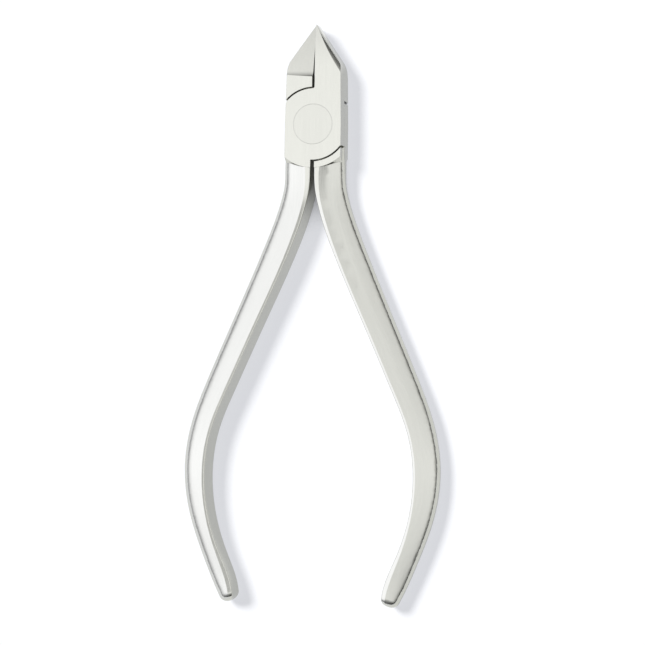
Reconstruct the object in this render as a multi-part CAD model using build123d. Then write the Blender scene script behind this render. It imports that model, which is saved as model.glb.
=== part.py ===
from build123d import *
import math
import os

# Lap-joint sprue nippers: two twin steel forgings and the flush rivet they turn on.
# Millimetres. +Z is the pivot axis, +Y points to the jaw tips, +X to the right seen from above.
# The origin is on the pivot axis, in the flat underside of the joint.
# The upper half has the left handle, the top layer of the lap joint and the right jaw.
# The lower half is the same forging turned half a turn about the long axis.

# ---- overall ----
TIP_REACH = 23.25           # pivot axis to the jaw tips
HANDLE_REACH = 110.3        # pivot axis to the handle ends, measured along Y
THICKNESS = 7.0             # both laps together
MIDDLE = THICKNESS / 2      # the plane where the laps meet
HEAD_HALF_WIDTH = 6.7
JAW_HALF_WIDTH = 6.4        # the head narrows to this at the jaws' outer corners
BOSS_RADIUS = 10.1          # the flat faces of the head end on this circle towards the handles
BOSS_SPREAD = 2.6           # the boss spreads this much, in a hollow slope, down to the middle plane
BOSS_HOLLOW = 0.27          # how far the slope is hollowed at half its height

# ---- lap joint and rivet ----
LAP_RADIUS = 8.31           # rounded ends of each lap
SHOULDER_RADIUS = 8.69      # the shoulder they turn against
LAP_CLEARANCE = 0.02        # each lap face stands back this far from the middle plane
RIVET_HEAD_RADIUS = 4.65
RIVET_HEAD_DEPTH = 1.5
RIVET_SHANK_RADIUS = 3.0
RIVET_FOOT_RADIUS = 3.9     # swaged into the lower half's countersink
RIVET_FOOT_DEPTH = 1.3
RUNNING_CLEARANCE = 0.02

# ---- jaws ----
TIP_HALF_WIDTH = 0.38
TIP_HALF_ANGLE = 32.6       # outer edge of a jaw against the long axis
JAW_CORNER_RADIUS = 5.0     # where the straight side rolls into the slanted edge
JAW_CLEARANCE = 0.012       # each cutting edge stands back this far from the long axis
BLADE_START_Y = 11.4        # the jaws are relieved between the joint and this line
RELIEF_GAP = 0.60           # width of that relief slot
RELIEF_CORNER_RADIUS = 0.2
SLOT_END_RADIUS = 0.5       # the slot's closed end, where it runs into the gap round the lap
RAMP_START_Y = 11.0         # ground ramp that thins a jaw towards its tip
RAMP_COVE = 1.3             # length of the hollow curve that leads down into the ramp
RAMP_COVE_DEPTH = 0.66
RAMP_COVE_HOLLOW = 0.11
RAMP_TIP_GAP = 0.25         # the ramp ends this far from the middle plane at the tip
RAMP_CROWN = 0.22           # how far the ramp stands proud of a straight line at its middle
RAMP_SIDE_TILT = 3.0        # degrees, falling towards the cutting edge
EDGE_ANGLE = 4.0            # the slope below the cutting edge leans back this far from upright
FLUSH_ANGLE = 4.2           # and so does the flush side above it
CROWN_START_Y = 14.0        # the flush face rolls down to the tip from here
CROWN_RADIUS = 42.0
FACET_WIDTH = 1.00          # rounded facet ground along the outer edge of the flush face
FACET_DROP = 1.00
FACET_BULGE = 0.06

# ---- handles: a spine along the flat inner side, with D-shaped sections across it ----
ROOT_GAP = 0.46             # half the slot between the handle roots
SPINE_START_Y = -5.0
SPINE = (                   # (straight length, 0) or (arc radius, turn outwards in degrees)
    (6.7, 0.0),
    (25.0, 14.0),
    (77.0, 10.2),
    (38.2, 0.0),
    (39.9, -43.9),
)
WIDTHS = (                  # share of the spine's length, width across the handle
    (0.00, 6.60),
    (0.06, 6.75),
    (0.12, 6.72),
    (0.20, 6.80),
    (0.45, 6.40),
    (0.72, 5.80),
    (0.88, 4.90),
    (1.00, 3.95),
)
HALF_HEIGHTS = (            # share of the spine's length, half the height of the section
    (0.00, 3.49),
    (0.78, 3.49),
    (1.00, 3.05),
)
LAND_WIDTHS = (             # share of the spine's length, width of the flat land along the inner edge
    (0.00, 1.60),
    (0.06, 1.15),
    (0.13, 0.85),
    (0.30, 0.62),
    (0.80, 0.60),
    (1.00, 1.00),
)
LAND_DROPS = (              # share of the spine's length, how far the land slopes down to the inner edge
    (0.00, 0.00),
    (0.04, 0.02),
    (0.16, 0.10),
    (0.32, 0.07),
    (0.80, 0.07),
    (1.00, 0.14),
)
ROUNDNESS = (               # share of the spine's length, power of the outer curve; 2 is an ellipse
    (0.00, 3.0),
    (0.15, 2.5),
    (0.35, 2.3),
    (1.00, 2.2),
)
CHORD_SHARE = 0.5           # the outer curve starts at this share of its half width
EDGE_BREAK = 0.22           # rounding between the land and the flat inner side
# shares of the spine's length that carry a section, closest where the handle bends out of the root
SECTION_SHARES = (0, 0.03, 0.06, 0.09, 0.13, 0.18, 0.24, 0.40, 0.56, 0.64, 0.73, 0.82, 0.91, 1)
CURVE_STEPS = 6             # steps down each half of the outer curve, each turning by the same angle
END_STEPS = (0.35, 0.62, 0.82, 0.94)    # shares of the rounded end's length that carry a section


def between(table, share):
    """Smoothly interpolated value of a table of (share, value) pairs."""
    for (low, first), (high, second) in zip(table, table[1:]):
        if share <= high:
            t = (share - low) / (high - low)
            return first + (second - first) * t * t * (3 - 2 * t)
    return table[-1][1]


def spine_state(distance):
    """Point and heading of the left handle's inner edge; heading is outwards from -Y, in radians."""
    x, y, heading = -ROOT_GAP, SPINE_START_Y, 0.0
    for size, turn in SPINE:
        run = size * math.radians(abs(turn)) if turn else size
        step = min(distance, run)
        if turn:
            after = heading + math.copysign(step / size, turn)
            radius = math.copysign(size, turn)
            x -= radius * (math.cos(heading) - math.cos(after))
            y -= radius * (math.sin(after) - math.sin(heading))
            heading = after
        else:
            x -= step * math.sin(heading)
            y -= step * math.cos(heading)
        distance -= step
    return x - distance * math.sin(heading), y - distance * math.cos(heading), heading


def spine_length():
    """Length of the spine down to the handle's end; its last stretch is straight."""
    bent = sum(size * math.radians(abs(turn)) if turn else size for size, turn in SPINE)
    _, y, heading = spine_state(bent)
    return bent + (HANDLE_REACH + y) / math.cos(heading)


def outer_curve(width, half, land, power):
    """Points down a section's outer curve, from the upper land round to the lower one."""
    reach = (width - land) / (1 - CHORD_SHARE)
    height_share = (1 - CHORD_SHARE ** power) ** (1 / power)
    crown = half / height_share
    first = math.atan(crown / reach * (CHORD_SHARE / height_share) ** (power - 1))
    upper = []
    for i in range(CURVE_STEPS):
        slope = first + (math.pi / 2 - first) * i / CURVE_STEPS
        ratio = (math.tan(slope) * reach / crown) ** (1 / (power - 1))
        level = (1 + ratio ** power) ** (-1 / power)
        upper.append((width - reach * (1 - ratio * level), crown * level))
    lower = [(across, -up) for across, up in reversed(upper)]
    return [*upper, (width, 0.0), *lower]


def section_wire(distance, share, scale=1.0):
    """D-shaped outline across the handle: flat inner side, narrow lands, convex outer side."""
    x, y, heading = spine_state(distance)
    width = between(WIDTHS, share)
    half = between(HALF_HEIGHTS, share)
    edge = half - between(LAND_DROPS, share)

    def place(across, up):
        return Vector(width / 2 + (across - width / 2) * scale, up * scale)

    points = outer_curve(width, half, between(LAND_WIDTHS, share), between(ROUNDNESS, share))
    curve = [place(*point) for point in points]
    corner = EDGE_BREAK * (1 - math.sqrt(0.5))
    top = [place(0, edge - EDGE_BREAK), place(corner, edge - corner), place(EDGE_BREAK, edge)]
    bottom = [place(EDGE_BREAK, -edge), place(corner, corner - edge), place(0, EDGE_BREAK - edge)]
    plane = Plane(
        origin=(x, y, MIDDLE),
        x_dir=(-math.cos(heading), math.sin(heading), 0),
        z_dir=(math.sin(heading), math.cos(heading), 0),
    )
    outline = Wire([
        Edge.make_line(bottom[2], top[0]),
        Edge.make_three_point_arc(*top),
        Edge.make_line(top[2], curve[0]),
        Edge.make_spline(curve),
        Edge.make_line(curve[-1], bottom[0]),
        Edge.make_three_point_arc(*bottom),
    ])
    return plane * outline


def left_handle():
    """The left handle, from inside the head to its rounded end."""
    length = spine_length()
    end = between(WIDTHS, 1.0) / 2
    main = length - end
    shank = Solid.make_loft([section_wire(main * share, share) for share in SECTION_SHARES])
    rounded = [section_wire(main + end * t, 1.0, math.sqrt(1 - t * t)) for t in (0.0, *END_STEPS)]
    x, y, heading = spine_state(length)
    tip = Vertex(x - end * math.cos(heading), y + end * math.sin(heading), MIDDLE)
    return shank + Solid.make_loft([*rounded, tip])


def head_outline():
    """The closed head seen from above, both jaws together."""
    corner_y = TIP_REACH - (JAW_HALF_WIDTH - TIP_HALF_WIDTH) / math.tan(math.radians(TIP_HALF_ANGLE))
    outline = Polygon(
        (TIP_HALF_WIDTH, TIP_REACH),
        (JAW_HALF_WIDTH, corner_y),
        (HEAD_HALF_WIDTH, 0),
        (HEAD_HALF_WIDTH, -2 * BOSS_RADIUS),
        (-HEAD_HALF_WIDTH, -2 * BOSS_RADIUS),
        (-HEAD_HALF_WIDTH, 0),
        (-JAW_HALF_WIDTH, corner_y),
        (-TIP_HALF_WIDTH, TIP_REACH),
        align=None,
    )
    corners = [v for v in outline.vertices() if abs(v.Y - corner_y) < 0.01]
    return fillet(corners, JAW_CORNER_RADIUS)


def boss():
    """Round body that ends the head towards the handles, spreading in a hollow slope to the middle plane."""
    widest = BOSS_RADIUS + BOSS_SPREAD
    halfway = BOSS_RADIUS + BOSS_SPREAD / 2 - BOSS_HOLLOW
    profile = make_face([
        Line((0, 0), (BOSS_RADIUS, 0)),
        ThreePointArc((BOSS_RADIUS, 0), (halfway, MIDDLE / 2), (widest, MIDDLE)),
        ThreePointArc((widest, MIDDLE), (halfway, THICKNESS - MIDDLE / 2), (BOSS_RADIUS, THICKNESS)),
        Line((BOSS_RADIUS, THICKNESS), (0, THICKNESS)),
        Line((0, THICKNESS), (0, 0)),
    ])
    return revolve(Plane.XZ * profile, Axis.Z)


def quarter(left, front, gap):
    """One quarter of the head's plan, clear of the long axis by the gap."""
    side = 2 * BOSS_RADIUS + TIP_REACH
    x = -(gap + side / 2) if left else gap + side / 2
    y = side / 2 if front else -side / 2
    return Pos(x, y) * Rectangle(side, side)


def jaw_quarter():
    """Plan of the right jaw behind and along its cutting edge, before grinding."""
    behind = quarter(False, True, RELIEF_GAP / 2)
    blade = Pos(0, BLADE_START_Y) * quarter(False, True, JAW_CLEARANCE)
    plan = behind + blade
    corner = [
        v for v in plan.vertices()
        if abs(v.Y - BLADE_START_Y) < 0.01 and abs(v.X - RELIEF_GAP / 2) < 0.01
    ]
    return fillet(corner, RELIEF_CORNER_RADIUS)


def ramp_cut():
    """Metal ground off under the right jaw, from a cove at its back to its thin tip."""
    begin = (RAMP_START_Y, 0.0)
    start = (RAMP_START_Y + RAMP_COVE, RAMP_COVE_DEPTH)
    stop = (TIP_REACH + 1, MIDDLE - RAMP_TIP_GAP)
    cove = (RAMP_START_Y + RAMP_COVE / 2, RAMP_COVE_DEPTH / 2 + RAMP_COVE_HOLLOW)
    middle = ((start[0] + stop[0]) / 2, (start[1] + stop[1]) / 2 - RAMP_CROWN)
    profile = make_face([
        ThreePointArc(begin, cove, start),
        ThreePointArc(start, middle, stop),
        Line(stop, (stop[0], -MIDDLE)),
        Line((stop[0], -MIDDLE), (RAMP_START_Y, -MIDDLE)),
        Line((RAMP_START_Y, -MIDDLE), begin),
    ])
    side_view = Plane(origin=(0, 0, 0), x_dir=(0, 1, 0), z_dir=(1, 0, 0))
    block = extrude(side_view * profile, 2 * HEAD_HALF_WIDTH)
    tilt = Rot(0, RAMP_SIDE_TILT, 0)
    return Pos(-1, 0, 0) * tilt * block


def crown_height(y):
    """Height of the rolled-down flush face at a distance along the jaw."""
    fall = max(0.0, y - CROWN_START_Y)
    return THICKNESS - CROWN_RADIUS + math.sqrt(CROWN_RADIUS ** 2 - fall ** 2)


def crown_cut():
    """Metal ground off above the right jaw so the flush face rolls down to the tip."""
    end_y = TIP_REACH + 1
    above = THICKNESS + 1
    curve = [(y, crown_height(y)) for y in (CROWN_START_Y, (CROWN_START_Y + end_y) / 2, end_y)]
    profile = make_face([
        ThreePointArc(*curve),
        Line(curve[2], (end_y, above)),
        Line((end_y, above), (CROWN_START_Y, above)),
        Line((CROWN_START_Y, above), curve[0]),
    ])
    side_view = Plane(origin=(-1, 0, 0), x_dir=(0, 1, 0), z_dir=(1, 0, 0))
    return extrude(side_view * profile, 2 * HEAD_HALF_WIDTH)


def facet_cut():
    """Metal ground off the outer edge of the right jaw's flush face, leaving a rounded facet."""
    slant = math.radians(TIP_HALF_ANGLE)
    above = THICKNESS + 1
    inner = (-FACET_WIDTH, THICKNESS)
    outer = (0.0, THICKNESS - FACET_DROP)
    middle = ((inner[0] + outer[0] + FACET_BULGE) / 2, (inner[1] + outer[1] + FACET_BULGE) / 2)
    profile = make_face([
        ThreePointArc(inner, middle, outer),
        Line(outer, (1, outer[1])),
        Line((1, outer[1]), (1, above)),
        Line((1, above), (inner[0], above)),
        Line((inner[0], above), inner),
    ])
    along = Vector(-math.sin(slant), math.cos(slant), 0)
    behind = 3 * FACET_WIDTH + (JAW_HALF_WIDTH - TIP_HALF_WIDTH) / math.sin(slant)
    edge_view = Plane(
        origin=Vector(TIP_HALF_WIDTH, TIP_REACH, 0) - along * behind,
        x_dir=(math.cos(slant), math.sin(slant), 0),
        z_dir=-along,
    )
    return extrude(edge_view * profile, behind + 1, dir=along)


def edge_cut():
    """Slopes above and below the right jaw's cutting edge, which lies at the middle plane."""
    above = THICKNESS + 1
    flush = JAW_CLEARANCE + (above - MIDDLE) * math.tan(math.radians(FLUSH_ANGLE))
    below = JAW_CLEARANCE + (MIDDLE + 1) * math.tan(math.radians(EDGE_ANGLE))
    profile = Polygon((-1, -1), (below, -1), (JAW_CLEARANCE, MIDDLE), (flush, above), (-1, above), align=None)
    front_view = Plane(origin=(0, BLADE_START_Y, 0), x_dir=(1, 0, 0), z_dir=(0, -1, 0))
    return extrude(front_view * profile, TIP_REACH, dir=(0, 1, 0))


def raised(plan, bottom, top):
    """A plan raised into a solid between two heights."""
    return Pos(0, 0, bottom) * extrude(plan, top - bottom, dir=(0, 0, 1))


def forging():
    """Left handle, top lap and right jaw in one piece, before the rivet hole is bored."""
    outline = head_outline()
    jaw_plan = outline & jaw_quarter()
    root_plan = outline & quarter(True, False, ROOT_GAP)
    lap_bottom = MIDDLE + LAP_CLEARANCE
    root = raised(root_plan, 0, THICKNESS) & boss()
    full = raised(jaw_plan, 0, THICKNESS) + root + left_handle()
    full -= raised(Circle(SHOULDER_RADIUS), 0, lap_bottom)
    lap_plan = jaw_plan + (outline & Circle(LAP_RADIUS))
    inner_corner = [
        v for v in lap_plan.vertices()
        if abs(v.X - RELIEF_GAP / 2) < 0.01 and 0 < v.Y < LAP_RADIUS
    ]
    lap = raised(fillet(inner_corner, SLOT_END_RADIUS) & Circle(SHOULDER_RADIUS + 1), lap_bottom, THICKNESS)
    blank = full + lap
    return blank - ramp_cut() - crown_cut() - facet_cut() - edge_cut()


def upper_half(blank):
    """The forging bored to run on the rivet, with a recess that lets its head lie flush."""
    run = RUNNING_CLEARANCE
    recess_floor = THICKNESS - RIVET_HEAD_DEPTH - run
    bore = raised(Circle(RIVET_SHANK_RADIUS + run), 0, THICKNESS)
    return blank - bore - raised(Circle(RIVET_HEAD_RADIUS + run), recess_floor, THICKNESS)


def lower_half(blank):
    """The forging turned over, bored and countersunk for the rivet fixed in it."""
    turned = Pos(0, 0, THICKNESS) * Rot(0, 180, 0) * blank
    return turned - raised(Circle(RIVET_SHANK_RADIUS), 0, THICKNESS) - rivet_foot()


def rivet_foot():
    """The swaged cone that holds the rivet in the lower half."""
    return loft([
        Circle(RIVET_FOOT_RADIUS).face(),
        Pos(0, 0, RIVET_FOOT_DEPTH) * Circle(RIVET_SHANK_RADIUS).face(),
    ])


def pivot_rivet():
    """Flush-headed rivet: wide head in the upper half, shank through both laps, swaged foot."""
    shank = raised(Circle(RIVET_SHANK_RADIUS), 0, THICKNESS)
    head = raised(Circle(RIVET_HEAD_RADIUS), THICKNESS - RIVET_HEAD_DEPTH, THICKNESS)
    return shank + head + rivet_foot()


def main():
    """Write every piece in its closed position."""
    blank = forging()
    pieces = {
        "upper_half": upper_half(blank),
        "lower_half": lower_half(blank),
        "pivot_rivet": pivot_rivet(),
    }
    os.makedirs("parts", exist_ok=True)
    for name, piece in pieces.items():
        piece.label = name
        export_step(piece, f"parts/{name}.step")


main()
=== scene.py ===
import math

import bpy
from mathutils import Matrix, Vector

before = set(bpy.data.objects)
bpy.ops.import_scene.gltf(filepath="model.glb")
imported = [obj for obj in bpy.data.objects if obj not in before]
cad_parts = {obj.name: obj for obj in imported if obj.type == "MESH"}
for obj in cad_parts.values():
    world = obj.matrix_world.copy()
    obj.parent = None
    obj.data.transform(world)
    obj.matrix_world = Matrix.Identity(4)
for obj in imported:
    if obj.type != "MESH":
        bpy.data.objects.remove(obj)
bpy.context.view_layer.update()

MM = 0.001

# ---- camera: nearly overhead, leaning towards the tool's right side ----
CAMERA_TARGET = Vector((2.2, -45.85, 3.5)) * MM
CAMERA_DISTANCE = 0.5
CAMERA_LEAN_RIGHT = 14.65       # degrees
CAMERA_LEAN_BACK = -2.2
CAMERA_ROLL = 0.93
CAMERA_LENS = 120.3             # mm on a 36 mm wide sensor

# ---- floor and its light ----
SUN_STRENGTH = 5.6
SUN_ANGLE = 19.0                # degrees across, for the soft edge of the shadow
SUN_FROM = Vector((-0.58, 0.44, 1.0))
SHADOW_TONE = (0.655, 0.665, 0.70)
FLOOR_SHADE_REACH = 8 * MM          # painted shade: how far the paper looks for walls that darken its glow
FLOOR_SHADE_RANGE = (0.08, 0.42)    # openness over which the painted shade fades
FLOOR_SHADE_TONE = 0.1
FLOOR_TONE = 0.25               # how much of the sun the paper sends back
FLOOR_HALF_SIZE = 3.0

# ---- light tent that the steel reflects; places in it are parts of a direction of length 1 ----
TENT_SIDES = (-0.65, 0.30)      # the strength changes from left to right between these X
TENT_LEFT = 1.49
TENT_RIGHT = 1.12
BLUE_SIDES = (-0.55, -0.30)     # the far left is cooler than the rest
BLUE_LEFT = 1.025
BLUE_RIGHT = 0.975
END_LOSS = 0.38                 # lost evenly from the middle towards both ends
JAW_END = (0.62, 1.0)           # more is lost between these Y, at the jaws' end
JAW_END_LOSS = 0.35
HANDLE_END = (-0.35, -0.90)     # and between these at the handles' end
HANDLE_END_LOSS = 0.70
HORIZON_HEIGHT = 0.52           # the dark horizon has faded out at this height
HORIZON_SIDES = (-0.6, 0.6)
HORIZON_LEFT = 0.72             # loss at the horizon, left and right
HORIZON_RIGHT = 0.95
SLIT_CENTRE = (0.045, 0.03)     # darker slit in the tent's roof, long in Y
SLIT_REACH = (0.12, 0.34)
SLIT_EDGE = (0.05, 1.0)         # it fades out between these squared shares of its reach
SLIT_STRENGTH = 0.50

# ---- steel ----
STEEL_COLOUR = (0.655, 0.658, 0.632)
STEEL_ROUGHNESS = 0.14
RIVET_TONE = 0.985              # the rivet's ground head against the rest
RIVET_EXTRA_ROUGHNESS = 0.03
HANDLE_START_Y = -10 * MM       # behind this the grain follows the handles
EDGE_RADIUS = 0.09 * MM         # softened look of every edge
EDGE_TURN = (0.995, 0.85)       # how far the softened edge turns the surface: no wear or painted highlight, full wear and painted highlight
EDGE_HIGHLIGHT_TONE = 1.12                # painted highlight: edges are brighter; worn edges are also smoother
EDGE_POLISH = 0.06
NOISE_RANGE = (0.3, 0.7)        # nearly all of a noise lies between these
FINE_GRAIN = (9000.0, 260.0)    # grain lines per metre across and along the brushing
FINE_TONES = (0.978, 1.022)
FINE_ROUGHNESS = (-0.04, 0.05)
BROAD_GRAIN = (1900.0, 55.0)
BROAD_TONES = (0.985, 1.015)
BROAD_HEIGHT = 0.8              # height against the fine grain's
MOTTLE = 900.0                  # spots per metre
MOTTLE_TONES = (0.99, 1.01)
MOTTLE_ROUGHNESS = (-0.02, 0.03)
MOTTLE_HEIGHT = 0.5
GRAIN_DEPTH = 0.0003 * MM
SIDE_SHADE_TINT = (0.855, 0.850, 0.785)   # painted shade: upright faces a little darker and warmer, as they reflect the shaded floor
SIDE_SHADE_SLOPE = (0.50, 0.85)       # upright and flat, by the Z of the surface's normal
CORNER_SHADE_REACH = 0.45 * MM        # painted shade: inner corners get a fine dark line this wide
CORNER_SHADE_RANGE = (0.35, 0.92)     # openness over which that painted shade fades
CORNER_SHADE_TONE = 0.45
SHARP_ANGLE = 25                # degrees


def new(tree, kind, **settings):
    """A new shader node with its own settings."""
    made = tree.nodes.new(kind)
    for name, value in settings.items():
        setattr(made, name, value)
    return made


def math_node(tree, operation, first, second=0):
    """A math node fed by sockets or plain numbers."""
    made = new(tree, "ShaderNodeMath", operation=operation)
    for socket, value in zip(made.inputs, (first, second)):
        if isinstance(value, (int, float)):
            socket.default_value = value
        else:
            tree.links.new(value, socket)
    return made.outputs[0]


def product(tree, first, *others):
    """Several sockets multiplied."""
    for other in others:
        first = math_node(tree, "MULTIPLY", first, other)
    return first


def total(tree, first, *others):
    """Several sockets added up."""
    for other in others:
        first = math_node(tree, "ADD", first, other)
    return first


def spread(tree, value, source, target, smooth=True):
    """Maps a socket's value from one range to another."""
    kind = "SMOOTHSTEP" if smooth else "LINEAR"
    made = new(tree, "ShaderNodeMapRange", interpolation_type=kind)
    for name, number in zip(("From Min", "From Max", "To Min", "To Max"), (*source, *target)):
        made.inputs[name].default_value = number
    tree.links.new(value, made.inputs["Value"])
    return made.outputs["Result"]


def squared(tree, value, centre, reach):
    """Squared distance from a centre, as a share of the reach."""
    share = math_node(tree, "DIVIDE", math_node(tree, "SUBTRACT", value, centre), reach)
    return math_node(tree, "MULTIPLY", share, share)


def make_camera():
    """The photograph's viewpoint."""
    towards = Vector((
        math.tan(math.radians(CAMERA_LEAN_RIGHT)),
        math.tan(math.radians(CAMERA_LEAN_BACK)),
        1.0,
    )).normalized()
    right = Vector((0, 1, 0)).cross(towards).normalized()
    up = towards.cross(right)
    roll = math.radians(CAMERA_ROLL)
    rolled_right = right * math.cos(roll) + up * math.sin(roll)
    rolled_up = up * math.cos(roll) - right * math.sin(roll)
    data = bpy.data.cameras.new("camera")
    data.lens = CAMERA_LENS
    data.sensor_width = 36.0
    data.clip_start = 0.01
    camera = bpy.data.objects.new("camera", data)
    bpy.context.scene.collection.objects.link(camera)
    axes = Matrix((rolled_right, rolled_up, towards)).transposed().to_4x4()
    camera.matrix_world = Matrix.Translation(CAMERA_TARGET + towards * CAMERA_DISTANCE) @ axes
    bpy.context.scene.camera = camera


def make_sun():
    """Soft light from the upper left that only shapes the shadow; the steel sees the tent."""
    data = bpy.data.lights.new("sun", "SUN")
    data.energy = SUN_STRENGTH
    data.angle = math.radians(SUN_ANGLE)
    sun = bpy.data.objects.new("sun", data)
    bpy.context.scene.collection.objects.link(sun)
    sun.rotation_euler = SUN_FROM.to_track_quat("Z", "Y").to_euler()
    sun.visible_glossy = False


def make_tent():
    """White light tent: brighter on the left, dim at the ends and the horizon, with a slit overhead."""
    world = bpy.data.worlds.new("tent")
    bpy.context.scene.world = world
    world.use_nodes = True
    world.cycles_visibility.diffuse = False
    tree = world.node_tree
    tree.nodes.clear()
    link = tree.links.new
    place = new(tree, "ShaderNodeTexCoord")
    split = new(tree, "ShaderNodeSeparateXYZ")
    link(place.outputs["Generated"], split.inputs[0])
    across, along, up = split.outputs

    side = spread(tree, across, TENT_SIDES, (TENT_LEFT, TENT_RIGHT), smooth=False)
    even_end = spread(tree, math_node(tree, "ABSOLUTE", along), (0.0, 1.0), (1.0, 1 - END_LOSS), smooth=False)
    jaw_end = spread(tree, along, JAW_END, (1.0, 1 - JAW_END_LOSS))
    handle_end = spread(tree, along, HANDLE_END, (1.0, 1 - HANDLE_END_LOSS))
    loss = spread(tree, across, HORIZON_SIDES, (HORIZON_LEFT, HORIZON_RIGHT))
    low = spread(tree, up, (0.0, HORIZON_HEIGHT), (1.0, 0.0))
    horizon = math_node(tree, "SUBTRACT", 1.0, product(tree, loss, low))
    away = total(
        tree,
        squared(tree, across, SLIT_CENTRE[0], SLIT_REACH[0]),
        squared(tree, along, SLIT_CENTRE[1], SLIT_REACH[1]),
    )
    slit = spread(tree, away, SLIT_EDGE, (SLIT_STRENGTH, 1.0))
    strength = product(tree, side, even_end, jaw_end, handle_end, slit, horizon)
    blue = spread(tree, across, BLUE_SIDES, (BLUE_LEFT, BLUE_RIGHT))
    colour = new(tree, "ShaderNodeCombineColor")
    colour.inputs["Red"].default_value = 1.0
    colour.inputs["Green"].default_value = 1.0
    link(blue, colour.inputs["Blue"])
    tent = new(tree, "ShaderNodeBackground")
    link(colour.outputs[0], tent.inputs["Color"])
    link(strength, tent.inputs["Strength"])

    plain = new(tree, "ShaderNodeBackground")
    plain.inputs["Color"].default_value = (1, 1, 1, 1)
    seen = new(tree, "ShaderNodeLightPath")
    choose = new(tree, "ShaderNodeMixShader")
    link(seen.outputs["Is Camera Ray"], choose.inputs["Fac"])
    link(tent.outputs[0], choose.inputs[1])
    link(plain.outputs[0], choose.inputs[2])
    output = new(tree, "ShaderNodeOutputWorld")
    link(choose.outputs[0], output.inputs["Surface"])


def make_floor():
    """Plain white paper: an even glow stands in for the light from all round, darkened by painted shade in
    narrow slots and beside walls, with the sun's light on top.
    """
    size = FLOOR_HALF_SIZE
    mesh = bpy.data.meshes.new("floor")
    corners = [(-size, -size, 0), (size, -size, 0), (size, size, 0), (-size, size, 0)]
    mesh.from_pydata(corners, [], [(0, 1, 2, 3)])
    floor = bpy.data.objects.new("floor", mesh)
    bpy.context.scene.collection.objects.link(floor)
    material = bpy.data.materials.new("floor_paper")
    material.use_nodes = True
    shader = material.node_tree.nodes["Principled BSDF"]
    shader.inputs["Base Color"].default_value = (FLOOR_TONE, FLOOR_TONE, FLOOR_TONE, 1)
    shader.inputs["Roughness"].default_value = 1.0
    shader.inputs["Specular IOR Level"].default_value = 0.0
    shader.inputs["Emission Color"].default_value = (*SHADOW_TONE, 1)
    tree = material.node_tree
    # painted shade: the paper's glow darkens where walls close it in
    floor_shade = new(tree, "ShaderNodeAmbientOcclusion", samples=12)
    floor_shade.inputs["Distance"].default_value = FLOOR_SHADE_REACH
    lit = spread(tree, floor_shade.outputs["AO"], FLOOR_SHADE_RANGE, (FLOOR_SHADE_TONE, 1.0))
    tree.links.new(lit, shader.inputs["Emission Strength"])
    mesh.materials.append(material)


def handle_line(piece, stations=14):
    """The handle's inner edge: its distance from the long axis at even steps of Y, off the CAD mesh."""
    points = [vertex.co for vertex in piece.data.vertices]
    start = min(point.y for point in points)
    step = (HANDLE_START_Y - start) / (stations - 1)
    line = []
    for i in range(stations):
        y = start + i * step
        near = [abs(point.x) for point in points if abs(point.y - y) < step / 2]
        line.append((y, min(near)))
    return line


def grain_place(tree, line):
    """Coordinates that run along the brushing: lengthwise on the head and down each handle's curve."""
    place = new(tree, "ShaderNodeTexCoord")
    split = new(tree, "ShaderNodeSeparateXYZ")
    tree.links.new(place.outputs["Object"], split.inputs[0])
    across, along, up = split.outputs
    low, high = line[0][0], line[-1][0]
    share = spread(tree, along, (low, high), (0.0, 1.0), smooth=False)
    widest = max(offset for _, offset in line)
    bend = new(tree, "ShaderNodeFloatCurve")
    curve = bend.mapping.curves[0]
    for index, (y, offset) in enumerate(line):
        spot = ((y - low) / (high - low), offset / widest)
        if index in (0, len(line) - 1):
            curve.points[0 if index == 0 else -1].location = spot
        else:
            curve.points.new(*spot)
    bend.mapping.update()
    tree.links.new(share, bend.inputs["Value"])
    away = math_node(tree, "MULTIPLY", bend.outputs[0], widest)
    offset = math_node(tree, "SUBTRACT", math_node(tree, "ABSOLUTE", across), away)
    joined = new(tree, "ShaderNodeCombineXYZ")
    for value, socket in zip((offset, along, up), joined.inputs):
        tree.links.new(value, socket)
    return joined.outputs[0], place.outputs["Object"]


def noise(tree, place, stretch, detail, roughness=0.55):
    """Noise stretched by a number for each axis."""
    scale = new(tree, "ShaderNodeVectorMath", operation="MULTIPLY")
    tree.links.new(place, scale.inputs[0])
    scale.inputs[1].default_value = stretch
    made = new(tree, "ShaderNodeTexNoise")
    tree.links.new(scale.outputs[0], made.inputs["Vector"])
    made.inputs["Scale"].default_value = 1.0
    made.inputs["Detail"].default_value = detail
    made.inputs["Roughness"].default_value = roughness
    return made.outputs["Fac"]


def edge_wear_and_highlight(tree, rounded, geometry):
    """0 on faces, rising to 1 where the softened edge turns the surface."""
    match = new(tree, "ShaderNodeVectorMath", operation="DOT_PRODUCT")
    tree.links.new(rounded.outputs[0], match.inputs[0])
    tree.links.new(geometry.outputs["Normal"], match.inputs[1])
    return spread(tree, match.outputs["Value"], EDGE_TURN, (0.0, 1.0))


def steel_colour(tree, colour, geometry, tone):
    """The steel's colour, with painted shade making upright faces darker and warmer, scaled by its tone."""
    split = new(tree, "ShaderNodeSeparateXYZ")
    tree.links.new(geometry.outputs["True Normal"], split.inputs[0])
    # painted shade: upright faces get a darker, warmer colour
    upright_shade = spread(tree, math_node(tree, "ABSOLUTE", split.outputs["Z"]), SIDE_SHADE_SLOPE, (1.0, 0.0))
    look = new(tree, "ShaderNodeMix", data_type="RGBA")
    flat_colour, shaded_side_colour = [socket for socket in look.inputs if socket.type == "RGBA"]
    flat_colour.default_value = (*colour, 1)
    shaded_side_colour.default_value = (*(part * side for part, side in zip(colour, SIDE_SHADE_TINT)), 1)
    tree.links.new(upright_shade, look.inputs["Factor"])
    blended = next(socket for socket in look.outputs if socket.type == "RGBA")
    tint = new(tree, "ShaderNodeVectorMath", operation="SCALE")
    tree.links.new(blended, tint.inputs[0])
    tree.links.new(tone, tint.inputs["Scale"])
    return tint.outputs[0]


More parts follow.
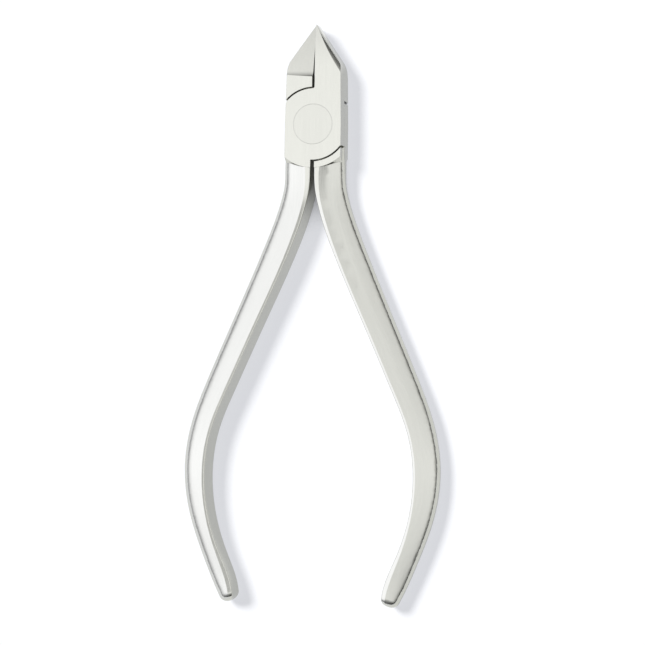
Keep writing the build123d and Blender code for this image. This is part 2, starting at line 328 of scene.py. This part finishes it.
def steel(name, line, colour, roughness):
    """Satin brushed stainless steel with softened, slightly polished edges, a painted highlight along the
    edges and painted shade in inner corners and on upright faces.
    """
    material = bpy.data.materials.new(name)
    material.use_nodes = True
    tree = material.node_tree
    link = tree.links.new
    shader = tree.nodes["Principled BSDF"]
    shader.inputs["Metallic"].default_value = 1.0
    grained, plain = grain_place(tree, line)
    fine = noise(tree, grained, (FINE_GRAIN[0], FINE_GRAIN[1], FINE_GRAIN[0]), 3)
    broad = noise(tree, grained, (BROAD_GRAIN[0], BROAD_GRAIN[1], BROAD_GRAIN[0]), 4)
    mottle = noise(tree, plain, (MOTTLE, MOTTLE, MOTTLE), 5, 0.7)

    rounded = new(tree, "ShaderNodeBevel", samples=6)
    rounded.inputs["Radius"].default_value = EDGE_RADIUS
    geometry = new(tree, "ShaderNodeNewGeometry")
    # painted highlight brightens the edges; the smoother worn edges are real polish
    wear_and_highlight = edge_wear_and_highlight(tree, rounded, geometry)
    # painted shade: a fine dark line in the inner corners
    corner_shade = new(tree, "ShaderNodeAmbientOcclusion", samples=8)
    corner_shade.inputs["Distance"].default_value = CORNER_SHADE_REACH

    # grain and mottle are the steel's own; the edge term is a painted highlight and the corner term painted
    # shade
    tone = product(
        tree,
        spread(tree, fine, NOISE_RANGE, FINE_TONES, smooth=False),
        spread(tree, broad, NOISE_RANGE, BROAD_TONES, smooth=False),
        spread(tree, mottle, NOISE_RANGE, MOTTLE_TONES, smooth=False),
        spread(tree, wear_and_highlight, (0.0, 1.0), (1.0, EDGE_HIGHLIGHT_TONE), smooth=False),
        spread(tree, corner_shade.outputs["AO"], CORNER_SHADE_RANGE, (CORNER_SHADE_TONE, 1.0)),
    )
    link(steel_colour(tree, colour, geometry, tone), shader.inputs["Base Color"])

    fine_roughness = tuple(roughness + part for part in FINE_ROUGHNESS)
    rough = total(
        tree,
        spread(tree, fine, NOISE_RANGE, fine_roughness, smooth=False),
        spread(tree, mottle, NOISE_RANGE, MOTTLE_ROUGHNESS, smooth=False),
    )
    rough = math_node(tree, "SUBTRACT", rough, product(tree, wear_and_highlight, EDGE_POLISH))
    link(rough, shader.inputs["Roughness"])

    height = total(tree, fine, product(tree, broad, BROAD_HEIGHT), product(tree, mottle, MOTTLE_HEIGHT))
    bump = new(tree, "ShaderNodeBump")
    bump.inputs["Strength"].default_value = 1.0
    bump.inputs["Distance"].default_value = GRAIN_DEPTH
    link(height, bump.inputs["Height"])
    link(rounded.outputs[0], bump.inputs["Normal"])
    link(bump.outputs[0], shader.inputs["Normal"])
    return material


def dress(piece, look):
    """One material, smooth shading and sharp edges for a piece."""
    piece.data.materials.clear()
    piece.data.materials.append(look)
    for face in piece.data.polygons:
        face.use_smooth = True
    piece.data.set_sharp_from_angle(angle=math.radians(SHARP_ANGLE))


def dress_steel():
    """Both forgings in satin steel, the rivet in slightly rougher ground steel."""
    line = handle_line(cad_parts["upper_half"])
    satin = steel("satin_steel", line, STEEL_COLOUR, STEEL_ROUGHNESS)
    rivet_colour = tuple(RIVET_TONE * part for part in STEEL_COLOUR)
    ground = steel("ground_steel", line, rivet_colour, STEEL_ROUGHNESS + RIVET_EXTRA_ROUGHNESS)
    dress(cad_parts["upper_half"], satin)
    dress(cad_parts["lower_half"], satin)
    dress(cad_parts["pivot_rivet"], ground)


bpy.context.scene.view_settings.view_transform = "Standard"
dress_steel()
make_floor()
make_tent()
make_sun()
make_camera()
